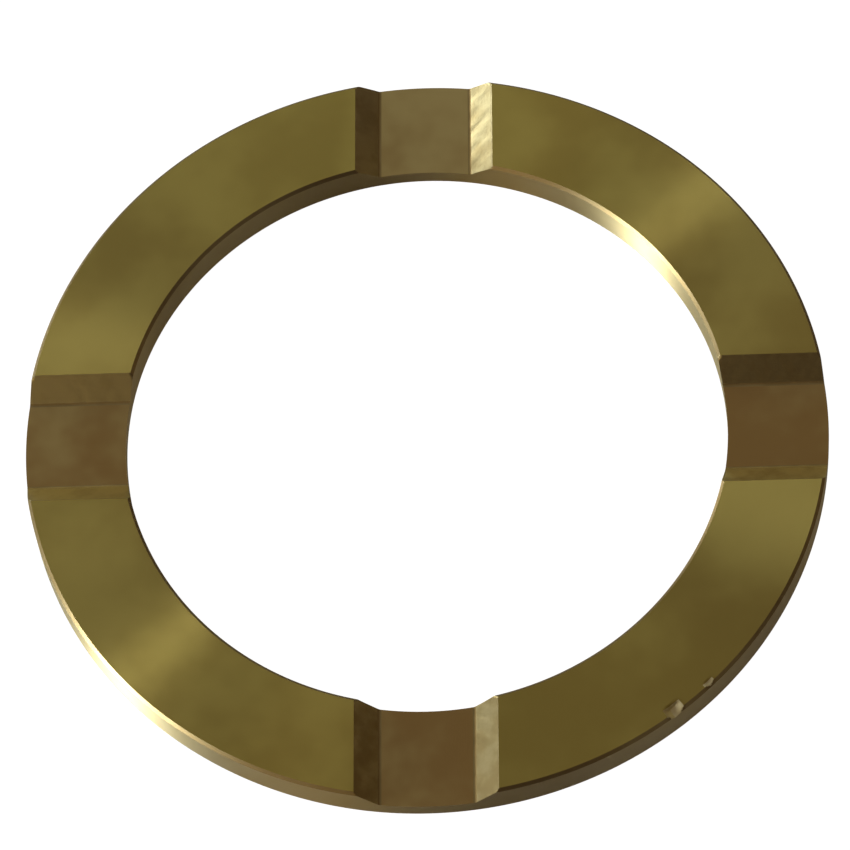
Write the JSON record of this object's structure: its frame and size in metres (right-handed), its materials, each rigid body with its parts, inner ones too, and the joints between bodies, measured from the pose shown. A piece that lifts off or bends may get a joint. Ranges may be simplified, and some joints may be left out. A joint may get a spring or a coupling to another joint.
{
  "type": "thrust washer",
  "caption": "Flat brass thrust washer: a turned ring with wide, flat-bottomed radial oil grooves milled across its running face, for taking end load round a shaft.",
  "frame": {"origin": "centre of the bore in the plane of the flat back, on which the washer rests", "axes": "+Z along the bore, out of the grooved running face; +X and +Y along the middle lines of two neighbouring grooves"},
  "size_m": [0.08, 0.08, 0.004],
  "materials": {
    "brass": "fine turned face, milled grooves, lightly tarnished"
  },
  "bodies": {
    "root": {"thrust_washer": "brass"}
  },
  "joints": []
}
